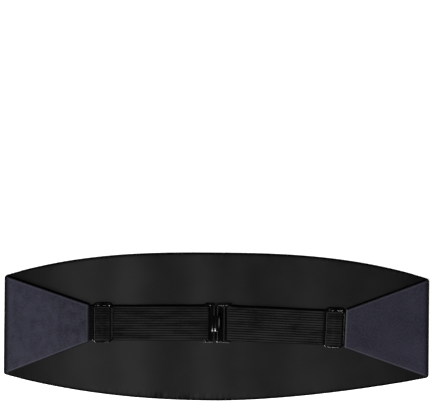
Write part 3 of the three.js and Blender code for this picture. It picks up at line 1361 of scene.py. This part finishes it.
@dataclass
class Clasp:
    """The slotted plate with its tongue, and the ring that the tongue hooks over."""

    enamel: bpy.types.Material
    hook_columns: tuple[float, ...] = (-11.0, -9.0, -5.3, -1.9)
    ring_columns: tuple[float, ...] = (-0.4, 1.3, 5.5, 7.0, 11.1, 13.1)
    centre: tuple[float, float] = (3.0, 9.9)
    arm: float = 1.3
    thickness: float = 1.2
    corner: float = 1.6
    slot_corner: float = 0.65
    edge_round: float = 0.5
    tongue_from: float = -4.3
    tongue_rises_at: float = -3.8
    tongue_width: float = 14.3
    tongue_thickness: float = 1.0
    tongue_round: float = 0.3
    over_bar: float = 1.4
    rise_steps: int = 8
    curl_steps: int = 12

    def plate(self, columns: tuple[float, ...]) -> Sweep:
        """Makes one of the two plates."""
        corners = (self.slot_corner,) * (len(columns) - 2)
        return BarredPlate(
            columns, self.arm, self.thickness, self.corner, corners, self.edge_round
        ).build()

    def add_tongue(self, plate: Sweep) -> None:
        """Adds the tongue, which rises over the ring's first bar and turns back under it.

        Args:
            plate: The plate that carries it.
        """
        bar_from, bar_to = self.ring_columns[:2]
        half = self.tongue_width / 2.0
        tongue = Sweep()
        start = (Vector((self.tongue_from, y, 0.0)) for y in (-half, half))
        tongue.strip(*start)
        tongue.go(Vector((self.tongue_rises_at - self.tongue_from, 0.0, 0.0)))
        steps = self.rise_steps
        run = bar_from - self.tongue_rises_at
        for k in range(steps):
            rise = smooth_step((k + 1) / steps) - smooth_step(k / steps)
            tongue.go(Vector((run / steps, 0.0, rise * self.over_bar)))
        tongue.go(Vector((bar_to - bar_from, 0.0, 0.0)))
        axis = Vector((0.0, 1.0, 0.0))
        tongue.turn(Vector((bar_to, 0.0, 0.0)), axis, math.pi, self.curl_steps)
        tongue.go(Vector((bar_from - bar_to, 0.0, 0.0)))
        faces = list(tongue.bm.faces)
        bmesh.ops.recalc_face_normals(tongue.bm, faces=faces)
        bmesh.ops.solidify(tongue.bm, geom=faces, thickness=self.tongue_thickness)
        bmesh.ops.recalc_face_normals(tongue.bm, faces=tongue.bm.faces)
        BarredPlate.soften(tongue.bm, self.tongue_round, 3)
        heights = [vertex.co.z for vertex in tongue.bm.verts]
        middle = (min(heights) + max(heights)) / 2.0
        bmesh.ops.translate(tongue.bm, vec=(0.0, 0.0, -middle), verts=tongue.bm.verts)
        mesh = bpy.data.meshes.new("tongue")
        tongue.bm.to_mesh(mesh)
        tongue.bm.free()
        plate.bm.from_mesh(mesh)
        bpy.data.meshes.remove(mesh)

    def build(self) -> list[bpy.types.Object]:
        """Builds both plates."""
        hook, ring = self.plate(self.hook_columns), self.plate(self.ring_columns)
        self.add_tongue(hook)
        where = Matrix.Translation((0.0, *self.centre))
        pieces = []
        for word, shape in (("hook", hook), ("ring", ring)):
            shape.place(where)
            name = f"clasp_{word}_plate"
            pieces.append(shape.finish(name, [self.enamel], f"clasp_{word}", Slot.HARDWARE))
        return pieces


@dataclass(frozen=True)
class StudioLamp:
    """A soft lamp aimed at the sash, as tall as it is wide unless a height is given."""

    name: str
    place: Triple
    size: float
    power: float
    height: float = 0.0
    lights_cloth: bool = True
    glints: bool = True

    def build(self) -> None:
        """Builds the lamp."""
        light = bpy.data.lights.new(self.name, "AREA")
        light.shape = "RECTANGLE"
        light.size = self.size
        light.size_y = self.height or self.size
        light.energy = self.power
        lamp = bpy.data.objects.new(self.name, light)
        lamp.location = self.place
        lamp.rotation_mode = "QUATERNION"
        lamp.rotation_quaternion = (-Vector(self.place)).to_track_quat("-Z", "Y")
        lamp.visible_camera = False
        lamp.visible_diffuse = self.lights_cloth
        lamp.visible_glossy = self.glints
        bpy.context.scene.collection.objects.link(lamp)


@dataclass
class Studio:
    """The floor, the lamps and the camera, in metres."""

    floor_half: float = 6.0
    world: float = 0.012
    lens: float = 300.0
    sensor: float = 36.0
    frame_width: float = 0.3830
    sash_below_middle: float = 0.1046
    object_height: float = 0.006
    roll_deg: float = 0.48
    lamps: tuple[StudioLamp, ...] = (
        StudioLamp("key_lamp", (-0.35, -0.72, 3.1), size=0.3, power=101.0, glints=False),
        StudioLamp("fill_lamp", (2.2, 1.9, 1.7), size=1.6, power=5.0, glints=False),
        StudioLamp(
            "corner_lamp", (-1.3, -1.4, 2.9), size=1.6, height=0.45, power=60.0, lights_cloth=False
        ),
        StudioLamp("arm_lamp", (0.1, -2.3, 2.4), size=0.4, power=6.0, lights_cloth=False),
        StudioLamp("bar_lamp", (2.4, 0.0, 2.4), size=0.8, power=3.5, lights_cloth=False),
    )

    def build(self) -> None:
        """Builds the studio."""
        bm = bmesh.new()
        bmesh.ops.create_grid(bm, x_segments=1, y_segments=1, size=self.floor_half)
        bmesh.ops.translate(bm, vec=(0.0, 0.0, -0.0003), verts=bm.verts)
        mesh = bpy.data.meshes.new("floor")
        bm.to_mesh(mesh)
        bm.free()
        mesh.materials.append(PaleFloor().material())
        floor = bpy.data.objects.new("floor", mesh)
        floor.visible_diffuse = False
        floor.visible_glossy = False
        bpy.context.scene.collection.objects.link(floor)
        for lamp in self.lamps:
            lamp.build()
        scene = bpy.context.scene
        scene.world = bpy.data.worlds.new("studio")
        scene.world.use_nodes = True
        background = scene.world.node_tree.nodes["Background"]
        background.inputs["Color"].default_value = (0.97, 0.98, 1.0, 1.0)
        background.inputs["Strength"].default_value = self.world
        scene.view_settings.view_transform = "Standard"
        scene.view_settings.look = "None"
        self.camera()

    def camera(self) -> None:
        """Builds the camera, straight above and turned by the photograph's small roll."""
        camera = bpy.data.cameras.new("camera")
        camera.lens = self.lens
        camera.sensor_width = self.sensor
        camera.clip_end = 100.0
        roll = math.radians(self.roll_deg)
        height = self.frame_width * self.lens / self.sensor + self.object_height
        side, up = -math.sin(roll), math.cos(roll)
        view = bpy.data.objects.new("camera", camera)
        view.location = (side * self.sash_below_middle, up * self.sash_below_middle, height)
        view.rotation_euler = (0.0, 0.0, roll)
        bpy.context.scene.collection.objects.link(view)
        bpy.context.scene.camera = view


@dataclass(frozen=True)
class Half:
    """What differs between the sash's two halves, in millimetres."""

    side: Side
    tab_reach: float
    tab_margin: float
    slide_from_tab: float
    clasp_bar_at: float
    strap_at_slide: float
    strap_dull: float
    look: TabLook


@dataclass
class Cummerbund:
    """The whole sash."""

    outline: Outline = Outline()
    satin: Satin = Satin(
        "navy_satin",
        (0.0126, 0.0123, 0.0206),
        (0.0363, 0.0358, 0.0563),
        # The painted highlight's colour along the tabs' edges
        (0.089, 0.088, 0.102),
        speckle=0.75,
        crest=1.0,
    )
    lining: Satin = Satin(
        "black_lining",
        (0.004, 0.004, 0.0041),
        (0.0225, 0.0225, 0.023),
        (0.0225, 0.0225, 0.023),
        roughness=0.55,
        thread=0.24,
        weave_share=0.08,
        speckle=0.14,
        mottle=0.2,
        crest=0.6,
        specular=0.1,
        sheen=0.03,
    )
    elastic: RibbedElastic = RibbedElastic("ribbed_elastic", BLACK, (0.0232, 0.0232, 0.0237), 14, 30.0)
    enamel: BlackEnamel = BlackEnamel("black_enamel", (0.0006,) * 3, (0.003,) * 3)
    halves: tuple[Half, Half] = (
        Half(
            Side.LEFT,
            tab_reach=75.5,
            tab_margin=1.2,
            slide_from_tab=2.7,
            clasp_bar_at=9.0,
            strap_at_slide=2.3,
            strap_dull=0.22,
            # The left tab painted lighter, with painted shade and highlight at its narrow end and
            # shade at its fold
            look=TabLook(0.19, 0.4, end_fall=0.2, end_rim=0.9, end_edge=0.4, fold_shade=3.3),
        ),
        Half(
            Side.RIGHT,
            tab_reach=74.1,
            tab_margin=2.0,
            slide_from_tab=1.2,
            clasp_bar_at=11.1,
            strap_at_slide=-0.6,
            strap_dull=-0.3,
            look=TabLook(mottle=0.06),
        ),
    )

    def build(self) -> None:
        """Builds every piece in order and reports it."""
        satin, black = self.satin.material(), self.lining.material()
        band, enamel = self.elastic.material(), self.enamel.material()
        made = [
            PleatedFront(self.outline, satin).build(),
            Lining(self.outline, black).build(),
        ]
        for half in self.halves:
            line = StrapLine(
                half.side,
                tab_end=self.outline.half - half.tab_reach,
                slide_from_tab=half.slide_from_tab,
                bar_at=half.clasp_bar_at,
                centre_at_slide=half.strap_at_slide,
            )
            made.append(WireSlide(line, enamel).build())
            made.append(ElasticBand(line, band, dull=half.strap_dull).build())
            reach, margin = half.tab_reach, half.tab_margin
            tab = SideTab(self.outline, half.side, satin, black, reach, margin, line, half.look)
            made.append(tab.build())
        made += Clasp(enamel).build()
        for piece in made:
            log.info("%s: %d faces", piece.name, len(piece.data.polygons))


def main() -> None:
    """Builds the studio and the sash."""
    logging.basicConfig(level=logging.INFO, format="%(message)s")
    Studio().build()
    Cummerbund().build()


if __name__ == "__main__":
    main()
